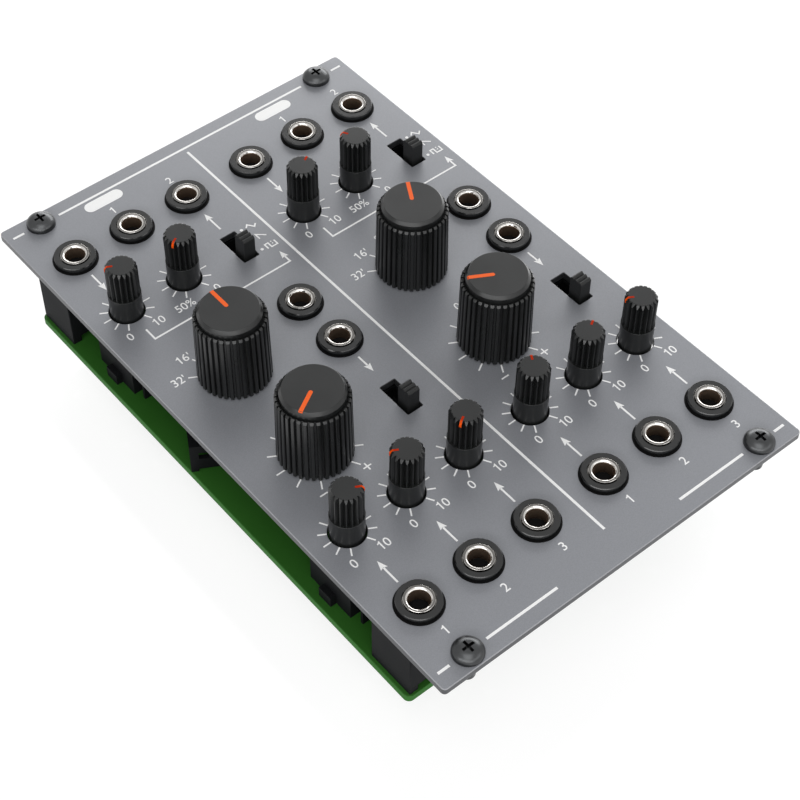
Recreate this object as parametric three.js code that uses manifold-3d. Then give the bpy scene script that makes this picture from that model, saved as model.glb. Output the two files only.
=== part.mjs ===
// Rack module with two matching channels: a front panel, one circuit board behind it, sixteen sockets,
// fourteen rotary controls, four slide switches, a power header and the four rack screws.
// All lengths are millimetres and all angles are degrees.
// The module lies on its back. +Z points out of the front panel, +Y towards the panel's top edge and
// +X to the right as seen from the front. The origin is under the centre of the panel, at the height
// of the power header's mouth, which is the surface that the module lies on.
import * as THREE from 'three';
import { mergeVertices } from 'three/addons/utils/BufferGeometryUtils.js';
import Module from 'manifold-3d';

const wasm = await Module();
wasm.setup();

// Driving dimensions: front panel. Widths are counted in steps of the rack's pitch.
const rackPitch = 5.08;
const panelSteps = 16;
const screwSpanSteps = 13;
const channelSteps = 8;
const columnSteps = 2.5;
const panelSidePlay = 0.3;
const panelThickness = 1.5;
const panelCornerRadius = 1;
const panelEdgeBevel = 0.2;
const screwEdgeInset = 3;

// Driving dimensions: how far each row of controls is below the row above, from the panel's top edge
// to its bottom edge. Together they make the height of a rack panel, 128.5.
const topEdgeToSockets = 14.75;
const socketsToUpperKnobs = 16.8;
const upperKnobsToRange = 24.3;
const rangeToPitch = 22.9;
const pitchToLowerKnobs = 16.6;
const lowerKnobsToSockets = 18.3;
const socketsToBottomEdge = 14.85;

// Driving dimensions: circuit board
const boardSideInset = 0.95;
const boardEndMargin = 0.4;
const boardThickness = 1.6;
const boardCornerRadius = 1.2;
const boardToPanel = 14.1;

// Driving dimensions: sockets
const socketBoreRadius = 1.8;
const socketFloor = 1.5;
const socketMouthRadius = 2.5;
const socketMouthDepth = 0.5;
const sleeveRadius = 2.95;
const sleeveRise = 1.4;
const sleevePanelClearance = 0.15;
const nutRadius = 4.2;
const nutHeight = 1.25;
const nutBevel = 0.35;
const socketWidth = 10.5;
const socketLength = 9.9;
const socketAxisShift = 0.6;
const socketFootWidth = 1.85;
const socketFootHeight = 1.4;
const sideSocketGap = 1.55;

// Driving dimensions: what every rotary control shares
const stubRadius = 1.75;
const stubLength = 4;
const turningClearance = 0.3;
const largeShaftRadius = 3;
const pointerDepth = 0.12;

// Driving dimensions: large knob
const ribCount = 36;
const skirtRadius = 6.73;
const skirtTaper = 0.23;
const ribDepth = 0.46;
const ribChamfer = 0.45;
const shoulderHeight = 15.1;
const crownInset = 0.8;
const crownRise = 0.9;
const crownBevelWidth = 0.48;
const crownBevelHeight = 0.6;
const largePointerWidth = 0.74;
const largePointerStart = 0.55;

// Driving dimensions: small knob, moulded in one piece with its shaft
const fluteCount = 18;
const fluteTipRadius = 2.95;
const fluteDepth = 0.65;
const fluteBevelWidth = 0.45;
const fluteBevelHeight = 0.6;
const collarRadius = 3.08;
const collarHeight = 5;
const smallKnobHeight = 11.8;
const smallKnobPanelClearance = 0.22;
const smallPointerWidth = 0.36;
const smallPointerLength = 1.55;

// Driving dimensions: potentiometer
const potWidth = 7.8;
const potLength = 10.9;
const potHeight = 6.8;
const potBossRadius = 3.4;
const potBossHeight = 0.7;
const lugSpan = 10.3;
const lugWidth = 3.2;
const lugHeight = 2.4;
const terminalSpan = 6.2;
const terminalReach = 7.75;
const terminalThickness = 0.6;
const terminalHeight = 4.2;

// Driving dimensions: rotary range switch in its folded bracket
const rangeSwitchTurn = -30;
const bracketToSocket = 0.38;
const bracketDepth = 17.5;
const bracketHeight = 7;
const bracketThickness = 0.9;
const bracketFootWidth = 1.4;
const bracketFootHeight = 0.7;
const windowInset = 1.6;
const windowWidth = 1.85;
const windowHeight = 1.65;
const windowSill = 3.45;
const rotorCaseGap = 1.2;
const rotorCaseHeight = 3;
const rotorCaseRadius = 7.4;
const bushRadius = 4.4;
const bushHeight = 1.5;

// Driving dimensions: slide switch
const leverWidth = 2.45;
const leverLength = 2.85;
const leverRise = 4.6;
const leverTravel = 4;
const leverSideClearance = 0.43;
const leverEndClearance = 0.44;
const leverFoot = 2.5;
const leverRidges = 3;
const leverRidgeDepth = 0.3;
const switchWidth = 7.4;
const switchLength = 14.2;
const switchPanelClearance = 0.5;

// Driving dimensions: rack screws
const screwRadius = 1.5;
const screwLength = 6;
const screwTipBevel = 0.3;
const screwHoleClearance = 0.2;
const screwHeadRadius = 2.75;
const screwHeadRim = 0.8;
const screwHeadHeight = 1.9;
const screwCrownRadius = 1.5;
const screwDomeBulge = 0.3;
const crossSpan = 2.6;
const crossWidth = 0.55;
const crossDepth = 0.9;

// Driving dimensions: shrouded power header on the back of the board
const headerPinPitch = 2.54;
const headerPinRows = 5;
const headerPinColumns = 2;
const headerPinSide = 0.64;
const headerPinSetback = 0.6;
const headerEndMargin = 5.08;
const headerWidth = 8.9;
const headerHeight = 9;
const headerWall = 1.2;
const headerFloor = 2;
const headerKeyWidth = 4.5;

// Driving dimensions: the angle between two marks of every dial
const dialStep = 30;

// One overrun for every cut, and the number of sides of round forms
const overrun = 1;
const hiddenRoundSides = 12;
const roundSides = 16;
const visibleHoleSides = 18;
const knobRoundSides = 36;
const cornerSteps = 4;

// Sizes that follow from the driving dimensions
const panelWidth = panelSteps * rackPitch - panelSidePlay;
const screwSpan = screwSpanSteps * rackPitch;
const channelPitch = channelSteps * rackPitch;
const columnPitch = columnSteps * rackPitch;
const panelHeight = topEdgeToSockets + socketsToUpperKnobs + upperKnobsToRange + rangeToPitch
  + pitchToLowerKnobs + lowerKnobsToSockets + socketsToBottomEdge;
const screwRowSpacing = panelHeight - 2 * screwEdgeInset;
const topSocketRow = panelHeight / 2 - topEdgeToSockets;
const upperKnobRow = topSocketRow - socketsToUpperKnobs;
const rangeRow = upperKnobRow - upperKnobsToRange;
const pitchRow = rangeRow - rangeToPitch;
const lowerKnobRow = pitchRow - pitchToLowerKnobs;
const bottomSocketRow = lowerKnobRow - lowerKnobsToSockets;
const boardWidth = panelWidth - 2 * boardSideInset;
const boardHeight = topSocketRow - bottomSocketRow + socketLength + 2 * boardEndMargin;
const boardMiddleY = (topSocketRow + bottomSocketRow) / 2;
const boardBackZ = headerHeight;
const boardFrontZ = boardBackZ + boardThickness;
const panelBackZ = boardFrontZ + boardToPanel;
const panelFrontZ = panelBackZ + panelThickness;
const slotWidth = leverWidth + 2 * leverSideClearance;
const slotLength = leverLength + leverTravel + 2 * leverEndClearance;
const leverRestY = -leverTravel / 2;
const switchHeight = boardToPanel - switchPanelClearance;
const rangeSwitchHeight = bracketHeight + rotorCaseHeight + bushHeight;
const potTotalHeight = potHeight + potBossHeight;
const skirtTopRadius = skirtRadius - skirtTaper;
const crownRadius = skirtTopRadius - crownInset;
const crownHeight = shoulderHeight + crownRise;
const faceRadius = crownRadius - crownBevelWidth;
const largeKnobHeight = crownHeight + crownBevelHeight;
const fluteRootRadius = fluteTipRadius - fluteDepth;
const gripFaceRadius = fluteTipRadius - fluteBevelWidth;
const stubHoleRadius = stubRadius + turningClearance;

// Materials, coloured as photographed
const finish = {
  panelPaint: { color: 0x8d8e93, roughness: 0.55, metalness: 0.25 },
  boardGreen: { color: 0x234f19, roughness: 0.5, metalness: 0 },
  knobPlastic: { color: 0x3a3b3b, roughness: 0.6, metalness: 0 },
  shaftPlastic: { color: 0x2f3131, roughness: 0.55, metalness: 0 },
  casePlastic: { color: 0x2a2b2d, roughness: 0.65, metalness: 0 },
  leverPlastic: { color: 0x1f2021, roughness: 0.6, metalness: 0 },
  blackSteel: { color: 0x2b2c2d, roughness: 0.35, metalness: 0.6 },
};
const materials = Object.fromEntries(
  Object.entries(finish).map(([name, look]) => [name, new THREE.MeshStandardMaterial(look)]),
);

// Turns a closed geometry into a solid that can be joined and cut.
function solid(geometry) {
  const bare = geometry.clone();
  bare.deleteAttribute('normal');
  bare.deleteAttribute('uv');
  const welded = mergeVertices(bare);
  const corners = welded.index.array;
  const faces = [];
  for (let i = 0; i < corners.length; i += 3) {
    const [a, b, c] = corners.subarray(i, i + 3);
    if (a !== b && b !== c && c !== a) faces.push(a, b, c);
  }
  return new wasm.Manifold(new wasm.Mesh({
    numProp: 3,
    vertProperties: welded.attributes.position.array,
    triVerts: new Uint32Array(faces),
  }));
}

// Basic forms. Each stands on z = 0 around the z axis, and at() moves it.
function block(width, length, height) {
  return solid(new THREE.BoxGeometry(width, length, height).translate(0, 0, height / 2));
}

function drum(radius, height, sides) {
  const geometry = new THREE.CylinderGeometry(radius, radius, height, sides);
  return solid(geometry.rotateX(Math.PI / 2).translate(0, 0, height / 2));
}

function turned(profile, sides) {
  const points = profile.map(([radius, height]) => new THREE.Vector2(radius, height));
  return solid(new THREE.LatheGeometry(points, sides).rotateX(Math.PI / 2));
}

function prism(shape, height) {
  const settings = { depth: height, bevelEnabled: false, curveSegments: cornerSteps };
  return solid(new THREE.ExtrudeGeometry(shape, settings));
}

function at(form, x, y, z) {
  return form.translate([x, y, z]);
}

function roundedRectangle(width, height, radius) {
  const [x, y] = [width / 2 - radius, height / 2 - radius];
  const shape = new THREE.Shape();
  shape.absarc(x, y, radius, 0, Math.PI / 2);
  shape.absarc(-x, y, radius, Math.PI / 2, Math.PI);
  shape.absarc(-x, -y, radius, Math.PI, 1.5 * Math.PI);
  shape.absarc(x, -y, radius, 1.5 * Math.PI, 2 * Math.PI);
  shape.closePath();
  return shape;
}

// A closed outline whose radius changes round the circle, as on a ribbed or fluted knob.
function wavyOutline(count, radii) {
  const steps = count * radii.length;
  const points = Array.from({ length: steps }, (_, i) => {
    const angle = (2 * Math.PI * i) / steps;
    const radius = radii[i % radii.length];
    return new THREE.Vector2(radius * Math.cos(angle), radius * Math.sin(angle));
  });
  return new THREE.Shape(points);
}

const module = new THREE.Group();

function addPart(name, form, material, x, y, z, turn = 0) {
  const { vertProperties, triVerts } = form.getMesh();
  const geometry = new THREE.BufferGeometry();
  geometry.setAttribute('position', new THREE.BufferAttribute(vertProperties, 3));
  geometry.setIndex(new THREE.BufferAttribute(triVerts, 1));
  const flat = geometry.toNonIndexed();
  flat.computeVertexNormals();
  const mesh = new THREE.Mesh(flat, material);
  mesh.name = name;
  mesh.position.set(x, y, z);
  mesh.rotation.z = THREE.MathUtils.degToRad(turn);
  module.add(mesh);
}

// Where things stand on the panel. Each channel repeats the same layout. The pointers stand as
// photographed, counted in dial steps clockwise from straight up.
const channels = [
  { name: 'left', side: -1, range: 0, pitch: -4, upper: [-2, -4], lower: [4, -2, -4] },
  { name: 'right', side: 1, range: 1, pitch: -2, upper: [2, -1], lower: [1, 2, -2] },
];

function placesOf(channel) {
  const centreX = (channel.side * channelPitch) / 2;
  const columns = [centreX - columnPitch, centreX, centreX + columnPitch];
  const largeX = centreX - columnPitch / 2;
  const [, , sideX] = columns;
  return {
    sockets: [
      ...columns.map((x, i) => ({ name: `top_socket_${i + 1}`, x, y: topSocketRow })),
      { name: 'side_socket_1', x: sideX, y: rangeRow + (socketLength + sideSocketGap) / 2 },
      { name: 'side_socket_2', x: sideX, y: rangeRow - (socketLength + sideSocketGap) / 2 },
      ...columns.map((x, i) => ({ name: `bottom_socket_${i + 1}`, x, y: bottomSocketRow })),
    ],
    smallKnobs: [
      ...channel.upper.map((steps, i) => (
        { name: `upper_knob_${i + 1}`, pot: `upper_pot_${i + 1}`, x: columns[i], y: upperKnobRow, steps })),
      ...channel.lower.map((steps, i) => (
        { name: `lower_knob_${i + 1}`, pot: `lower_pot_${i + 1}`, x: columns[i], y: lowerKnobRow, steps })),
    ],
    rangeKnob: { x: largeX, y: rangeRow, steps: channel.range },
    pitchKnob: { x: largeX, y: pitchRow, steps: channel.pitch },
    switches: [
      { name: 'waveform', x: sideX, y: upperKnobRow },
      { name: 'sync', x: sideX, y: pitchRow },
    ],
  };
}

const screwPlaces = [
  { name: 'top_left', x: -screwSpan / 2, y: screwRowSpacing / 2 },
  { name: 'top_right', x: screwSpan / 2, y: screwRowSpacing / 2 },
  { name: 'bottom_left', x: -screwSpan / 2, y: -screwRowSpacing / 2 },
  { name: 'bottom_right', x: screwSpan / 2, y: -screwRowSpacing / 2 },
];

// Front panel: a sheet with broken edges, pierced for every socket, shaft, lever and screw.
function panelSheet() {
  const shape = roundedRectangle(panelWidth, panelHeight, panelCornerRadius);
  const geometry = new THREE.ExtrudeGeometry(shape, {
    depth: panelThickness - 2 * panelEdgeBevel,
    bevelThickness: panelEdgeBevel,
    bevelSize: panelEdgeBevel,
    bevelOffset: -panelEdgeBevel,
    bevelSegments: 1,
    curveSegments: cornerSteps,
  });
  return solid(geometry.translate(0, 0, panelEdgeBevel));
}

function holeCutter(radius, sides, { x, y }) {
  return at(drum(radius, panelThickness + 2 * overrun, sides), x, y, -overrun);
}

function slotCutter({ x, y }) {
  return at(block(slotWidth, slotLength, panelThickness + 2 * overrun), x, y, -overrun);
}

function frontPanel() {
  const cutters = screwPlaces.map((place) => (
    holeCutter(screwRadius + screwHoleClearance, hiddenRoundSides, place)));
  for (const channel of channels) {
    const places = placesOf(channel);
    const socketHole = sleeveRadius + sleevePanelClearance;
    const smallHole = collarRadius + smallKnobPanelClearance;
    const largeHole = largeShaftRadius + turningClearance;
    cutters.push(...places.sockets.map((place) => holeCutter(socketHole, hiddenRoundSides, place)));
    cutters.push(...places.smallKnobs.map((place) => holeCutter(smallHole, visibleHoleSides, place)));
    cutters.push(holeCutter(largeHole, hiddenRoundSides, places.rangeKnob));
    cutters.push(holeCutter(largeHole, hiddenRoundSides, places.pitchKnob));
    cutters.push(...places.switches.map(slotCutter));
  }
  return panelSheet().subtract(wasm.Manifold.union(cutters));
}

addPart('front_panel', frontPanel(), materials.panelPaint, 0, 0, panelBackZ);

// Circuit board: one board behind both channels. Everything on its front stands on it.
const boardForm = prism(roundedRectangle(boardWidth, boardHeight, boardCornerRadius), boardThickness);
addPart('circuit_board', boardForm, materials.boardGreen, 0, boardMiddleY, boardBackZ);

// Rack screw: domed head with a cross recess, its underside on the panel's front.
function rackScrew() {
  const body = turned([
    [0, -screwLength],
    [screwRadius - screwTipBevel, -screwLength],
    [screwRadius, screwTipBevel - screwLength],
    [screwRadius, 0],
    [screwHeadRadius, 0],
    [screwHeadRadius, screwHeadRim],
    [(screwHeadRadius + screwCrownRadius) / 2, (screwHeadRim + screwHeadHeight) / 2 + screwDomeBulge],
    [screwCrownRadius, screwHeadHeight],
    [0, screwHeadHeight],
  ], roundSides);
  const arm = block(crossSpan, crossWidth, crossDepth + overrun);
  const cross = arm.add(block(crossWidth, crossSpan, crossDepth + overrun));
  return body.subtract(at(cross, 0, 0, screwHeadHeight - crossDepth));
}

for (const { name, x, y } of screwPlaces) {
  addPart(`${name}_screw`, rackScrew(), materials.blackSteel, x, y, panelFrontZ);
}

// Socket: a moulded case between board and panel, its threaded sleeve through the panel, and the
// round nut that clamps the panel on it. The plug's bore runs down from a flared mouth.
function socket() {
  const topZ = boardToPanel + panelThickness;
  const tunnelWidth = socketWidth - 2 * socketFootWidth;
  const tunnel = block(tunnelWidth, socketLength + 2 * overrun, socketFootHeight + overrun);
  const housing = block(socketWidth, socketLength, boardToPanel).subtract(at(tunnel, 0, 0, -overrun));
  const sleeveAndNut = turned([
    [0, boardToPanel - overrun],
    [sleeveRadius, boardToPanel - overrun],
    [sleeveRadius, topZ],
    [nutRadius, topZ],
    [nutRadius, topZ + nutHeight - nutBevel],
    [nutRadius - nutBevel, topZ + nutHeight],
    [sleeveRadius, topZ + nutHeight],
    [socketMouthRadius, topZ + sleeveRise],
    [0, topZ + sleeveRise],
  ], roundSides);
  const bore = turned([
    [0, socketFootHeight + socketFloor],
    [socketBoreRadius, socketFootHeight + socketFloor],
    [socketBoreRadius, topZ + sleeveRise - socketMouthDepth],
    [socketMouthRadius, topZ + sleeveRise],
    [socketMouthRadius, topZ + sleeveRise + overrun],
    [0, topZ + sleeveRise + overrun],
  ], roundSides);
  return at(housing, -socketAxisShift, 0, 0).add(sleeveAndNut).subtract(bore);
}

// What turns inside a control's body: the shaft down to the body's top, and the thinner stub that
// enters it. The heights are above the panel's front.
function shaft(radius, bodyHeight, topHeight, sides) {
  const bodyTop = bodyHeight - boardToPanel - panelThickness;
  const shaftFoot = bodyTop + turningClearance;
  const stubFoot = shaftFoot - stubLength;
  const stub = at(drum(stubRadius, stubLength + overrun, hiddenRoundSides), 0, 0, stubFoot);
  return at(drum(radius, topHeight - shaftFoot, sides), 0, 0, shaftFoot).add(stub);
}

// Large knob: ribbed skirt that narrows a little upwards, a shoulder, and a crown with a bevelled
// rim. The pointer is a shallow groove from near the centre to the rim.
function ribbedSkirt() {
  const rootRadius = skirtRadius - ribDepth;
  const radii = [skirtRadius, skirtRadius, rootRadius];
  const geometry = new THREE.ExtrudeGeometry(wavyOutline(ribCount, radii), {
    depth: shoulderHeight - turningClearance,
    bevelEnabled: false,
  });
  const taper = skirtTopRadius / skirtRadius;
  const position = geometry.attributes.position;
  for (let i = 0; i < position.count; i += 1) {
    if (position.getZ(i) > 0) position.setXY(i, position.getX(i) * taper, position.getY(i) * taper);
  }
  return at(solid(geometry), 0, 0, turningClearance);
}

function largeKnobHead() {
  const reach = skirtRadius + overrun;
  const envelope = turned([
    [0, turningClearance],
    [reach, turningClearance],
    [reach, shoulderHeight - ribChamfer - (reach - skirtTopRadius)],
    [skirtTopRadius - ribChamfer, shoulderHeight],
    [0, shoulderHeight],
  ], knobRoundSides);
  const crown = turned([
    [0, shoulderHeight - overrun],
    [crownRadius, shoulderHeight - overrun],
    [crownRadius, crownHeight],
    [faceRadius, largeKnobHeight],
    [0, largeKnobHeight],
  ], knobRoundSides);
  const pointer = block(largePointerWidth, faceRadius - largePointerStart + overrun, overrun);
  const pointerMiddle = (largePointerStart + faceRadius + overrun) / 2;
  const head = ribbedSkirt().intersect(envelope).add(crown);
  return head.subtract(at(pointer, 0, pointerMiddle, largeKnobHeight - pointerDepth));
}

function largeKnob(bodyHeight) {
  return shaft(largeShaftRadius, bodyHeight, shoulderHeight, hiddenRoundSides).add(largeKnobHead());
}

// Small knob: a fluted grip on a smooth collar, one moulding with its shaft. The tips of the flutes
// are bevelled at the top, and the pointer is a short groove at the rim.
function smallKnob() {
  const fluted = prism(wavyOutline(fluteCount, [fluteTipRadius, fluteRootRadius]), smallKnobHeight);
  const gripFoot = collarHeight - overrun;
  const reach = fluteTipRadius + overrun;
  const bevelSlope = fluteBevelHeight / fluteBevelWidth;
  const envelope = turned([
    [0, gripFoot],
    [reach, gripFoot],
    [reach, smallKnobHeight - bevelSlope * (reach - gripFaceRadius)],
    [gripFaceRadius, smallKnobHeight],
    [0, smallKnobHeight],
  ], fluteCount);
  const pointer = block(smallPointerWidth, smallPointerLength + overrun, overrun);
  const pointerMiddle = fluteTipRadius - smallPointerLength + (smallPointerLength + overrun) / 2;
  const body = shaft(collarRadius, potTotalHeight, collarHeight, fluteCount);
  const knob = body.add(fluted.intersect(envelope));
  return knob.subtract(at(pointer, 0, pointerMiddle, smallKnobHeight - pointerDepth));
}

// Potentiometer: a square case with a boss round the shaft's hole, a lug on each side and a comb of
// terminals that drops to the board in front of it.
function potentiometer() {
  const comb = block(terminalSpan, terminalThickness, terminalHeight);
  const bridgeLength = terminalReach - potLength / 2 + terminalThickness;
  const bridge = block(terminalSpan, bridgeLength, terminalThickness);
  const lugs = block(lugSpan, lugWidth, lugHeight);
  const boss = drum(potBossRadius, potHeight + potBossHeight, hiddenRoundSides);
  const hole = drum(stubHoleRadius, stubLength + overrun, hiddenRoundSides);
  return block(potWidth, potLength, potHeight)
    .add(lugs)
    .add(boss)
    .add(at(comb, 0, terminalThickness / 2 - terminalReach, 0))
    .add(at(bridge, 0, bridgeLength / 2 - terminalReach, terminalHeight - terminalThickness))
    .subtract(at(hole, 0, 0, potTotalHeight - stubLength));
}

// Range switch: a folded bracket with windowed cheeks that stand on corner feet, the switch case
// under it, and the rotor case and bush above it. It stands askew, as wide as the side sockets allow.
function rangeSwitch() {
  const turn = THREE.MathUtils.degToRad(Math.abs(rangeSwitchTurn));
  const knobToSocket = columnPitch + columnPitch / 2;
  const roomToSocket = knobToSocket - socketWidth / 2 - socketAxisShift - bracketToSocket;
  const bracketWidth = (2 * roomToSocket - bracketDepth * Math.sin(turn)) / Math.cos(turn);
  const cheekGap = bracketWidth - 2 * bracketFootWidth;
  const tunnel = block(cheekGap, bracketDepth + 2 * overrun, bracketFootHeight + overrun);
  const hollow = block(bracketWidth + 2 * overrun, bracketDepth - 2 * bracketThickness, bracketHeight);
  const opening = block(windowWidth, bracketDepth + 2 * overrun, windowHeight);
  const windowX = bracketWidth / 2 - windowInset - windowWidth / 2;
  const bracket = block(bracketWidth, bracketDepth, bracketHeight)
    .subtract(at(tunnel, 0, 0, -overrun))
    .subtract(at(hollow, 0, 0, -bracketThickness))
    .subtract(at(opening, -windowX, 0, windowSill))
    .subtract(at(opening, windowX, 0, windowSill));
  const caseWidth = bracketWidth - 2 * (windowInset + windowWidth + rotorCaseGap);
  const caseLength = bracketDepth - 2 * (bracketThickness + rotorCaseGap);
  const rotorCase = drum(rotorCaseRadius, rotorCaseHeight + bracketThickness, roundSides);
  const hole = drum(stubHoleRadius, stubLength + overrun, hiddenRoundSides);
  return bracket
    .add(block(caseWidth, caseLength, bracketHeight))
    .add(at(rotorCase, 0, 0, bracketHeight - bracketThickness))
    .add(at(drum(bushRadius, rotorCaseHeight + bushHeight, roundSides), 0, 0, bracketHeight))
    .subtract(at(hole, 0, 0, rangeSwitchHeight - stubLength));
}

// Slide switch: a case with a channel in its top, and the lever whose foot runs in it. The lever's
// top has ridges across it for the finger.
function slideSwitch() {
  const channel = block(slotWidth, slotLength, leverFoot + turningClearance + overrun);
  const channelFloor = switchHeight - leverFoot - turningClearance;
  return block(switchWidth, switchLength, switchHeight).subtract(at(channel, 0, 0, channelFloor));
}

function slideLever() {
  const foot = -panelThickness - switchPanelClearance - leverFoot;
  const shape = new THREE.Shape();
  shape.moveTo(-leverLength / 2, foot);
  shape.lineTo(leverLength / 2, foot);
  shape.lineTo(leverLength / 2, leverRise - leverRidgeDepth);
  const ridge = leverLength / leverRidges;
  for (let i = 1; i <= leverRidges; i += 1) {
    const y = leverLength / 2 - i * ridge;
    shape.lineTo(y + ridge / 2, leverRise);
    shape.lineTo(y, leverRise - leverRidgeDepth);
  }
  shape.closePath();
  const geometry = new THREE.ExtrudeGeometry(shape, { depth: leverWidth, bevelEnabled: false });
  geometry.translate(0, 0, -leverWidth / 2).rotateY(Math.PI / 2).rotateX(Math.PI / 2);
  return solid(geometry);
}

for (const channel of channels) {
  const places = placesOf(channel);
  for (const { name, x, y } of places.sockets) {
    addPart(`${channel.name}_${name}`, socket(), materials.casePlastic, x, y, boardFrontZ);
  }
  for (const { name, pot, x, y, steps } of places.smallKnobs) {
    addPart(`${channel.name}_${name}`, smallKnob(), materials.shaftPlastic,
      x, y, panelFrontZ, -steps * dialStep);
    addPart(`${channel.name}_${pot}`, potentiometer(), materials.casePlastic, x, y, boardFrontZ);
  }
  const { rangeKnob, pitchKnob } = places;
  addPart(`${channel.name}_range_knob`, largeKnob(rangeSwitchHeight), materials.knobPlastic,
    rangeKnob.x, rangeKnob.y, panelFrontZ, -rangeKnob.steps * dialStep);
  addPart(`${channel.name}_range_switch`, rangeSwitch(), materials.casePlastic,
    rangeKnob.x, rangeKnob.y, boardFrontZ, rangeSwitchTurn);
  addPart(`${channel.name}_pitch_knob`, largeKnob(potTotalHeight), materials.knobPlastic,
    pitchKnob.x, pitchKnob.y, panelFrontZ, -pitchKnob.steps * dialStep);
  addPart(`${channel.name}_pitch_pot`, potentiometer(), materials.casePlastic,
    pitchKnob.x, pitchKnob.y, boardFrontZ);
  for (const { name, x, y } of places.switches) {
    addPart(`${channel.name}_${name}_lever`, slideLever(), materials.leverPlastic,
      x, y + leverRestY, panelFrontZ);
    addPart(`${channel.name}_${name}_switch`, slideSwitch(), materials.casePlastic, x, y, boardFrontZ);
  }
}

// Power header: a keyed shroud that hangs under the board with its mouth down, and its pins.
function powerHeader() {
  const length = (headerPinRows - 1) * headerPinPitch + 2 * headerEndMargin;
  const depth = headerHeight - headerFloor;
  const well = block(headerWidth - 2 * headerWall, length - 2 * headerWall, depth + overrun);
  const key = block(headerWall + 2 * overrun, headerKeyWidth, depth + overrun);
  const keyX = (headerWall - headerWidth) / 2;
  let form = block(headerWidth, length, headerHeight)
    .subtract(at(well, 0, 0, -overrun))
    .subtract(at(key, keyX, 0, -overrun));
  for (let row = 0; row < headerPinRows; row += 1) {
    for (let column = 0; column < headerPinColumns; column += 1) {
      const x = (column - (headerPinColumns - 1) / 2) * headerPinPitch;
      const y = (row - (headerPinRows - 1) / 2) * headerPinPitch;
      const pin = block(headerPinSide, headerPinSide, depth - headerPinSetback + headerFloor / 2);
      form = form.add(at(pin, x, y, headerPinSetback));
    }
  }
  return form;
}

addPart('power_header', powerHeader(), materials.casePlastic, 0, 0, 0);

export default module;
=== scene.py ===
import math

import bmesh
import bpy
from mathutils import Matrix, Vector


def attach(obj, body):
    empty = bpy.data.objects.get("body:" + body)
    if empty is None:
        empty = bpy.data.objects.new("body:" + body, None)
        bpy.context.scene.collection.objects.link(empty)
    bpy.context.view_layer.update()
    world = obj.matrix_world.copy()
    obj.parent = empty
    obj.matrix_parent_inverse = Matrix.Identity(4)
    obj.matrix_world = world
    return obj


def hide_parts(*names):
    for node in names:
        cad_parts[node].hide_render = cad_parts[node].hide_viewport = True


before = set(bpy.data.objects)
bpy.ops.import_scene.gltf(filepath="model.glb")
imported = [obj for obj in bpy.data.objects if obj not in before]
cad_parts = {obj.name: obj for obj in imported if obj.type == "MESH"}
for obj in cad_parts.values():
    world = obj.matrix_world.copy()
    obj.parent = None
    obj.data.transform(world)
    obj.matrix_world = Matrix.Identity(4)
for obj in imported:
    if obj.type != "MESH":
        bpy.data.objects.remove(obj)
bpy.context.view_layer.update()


# Circuit board. A sheet of woven glass laminate under green solder lacquer, routed to size. It lies
# behind the whole panel and carries every socket and control. Sizes are millimetres, and a finish's
# scales are counts per metre.

MM = 0.001
BOARD_BACK = 9.0
BOARD_FRONT = 10.6
BOARD_WIDTH, BOARD_HEIGHT, BOARD_MIDDLE_Y = 79.08, 109.6, 0.05
BOARD_CORNER = 1.2
BOARD_EDGE = 0.15
LACQUER_DEEP, LACQUER_LIGHT, ROUTED_EDGE_WITH_HIGHLIGHT = (40, 88, 29), (50, 100, 37), (58, 116, 48)
WEAVE_SCALE = 900.0


def colour(red, green, blue):
    """A colour written as in a paint program, as the shader's numbers."""
    parts = [value / 255 for value in (red, green, blue)]
    return (*(v / 12.92 if v <= 0.04045 else ((v + 0.055) / 1.055) ** 2.4 for v in parts), 1.0)


class Value:
    """A shader socket. Arithmetic on it adds Math nodes to its finish."""

    def __init__(self, finish, socket):
        self.finish = finish
        self.socket = socket

    def combine(self, operation, first, second):
        return self.finish.node("ShaderNodeMath", {"operation": operation}, {0: first, 1: second})

    def __add__(self, other):
        return self.combine("ADD", self, other)

    __radd__ = __add__

    def __mul__(self, other):
        return self.combine("MULTIPLY", self, other)

    __rmul__ = __mul__

    def __gt__(self, other):
        return self.combine("GREATER_THAN", self, other)

    def __lt__(self, other):
        return self.combine("LESS_THAN", self, other)


class Nodes:
    """A node tree, with one method that adds a node of any kind."""

    def __init__(self, tree):
        self.tree = tree

    def feed(self, node, sockets):
        for key, value in sockets.items():
            if isinstance(value, Value):
                self.tree.links.new(value.socket, node.inputs[key])
            else:
                node.inputs[key].default_value = value

    def node(self, kind, settings, sockets, output=0):
        node = self.tree.nodes.new(kind)
        for key, value in settings.items():
            setattr(node, key, value)
        self.feed(node, sockets)
        return Value(self, node.outputs[output])

    def seen(self):
        """1 for rays from the camera, from mirror-like surfaces and through glass, else 0."""
        first, *others = (self.node("ShaderNodeLightPath", {}, {}, f"Is {kind} Ray")
                          for kind in ("Camera", "Glossy", "Transmission"))
        for other in others:
            first = first.combine("MAXIMUM", first, other)
        return first


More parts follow.
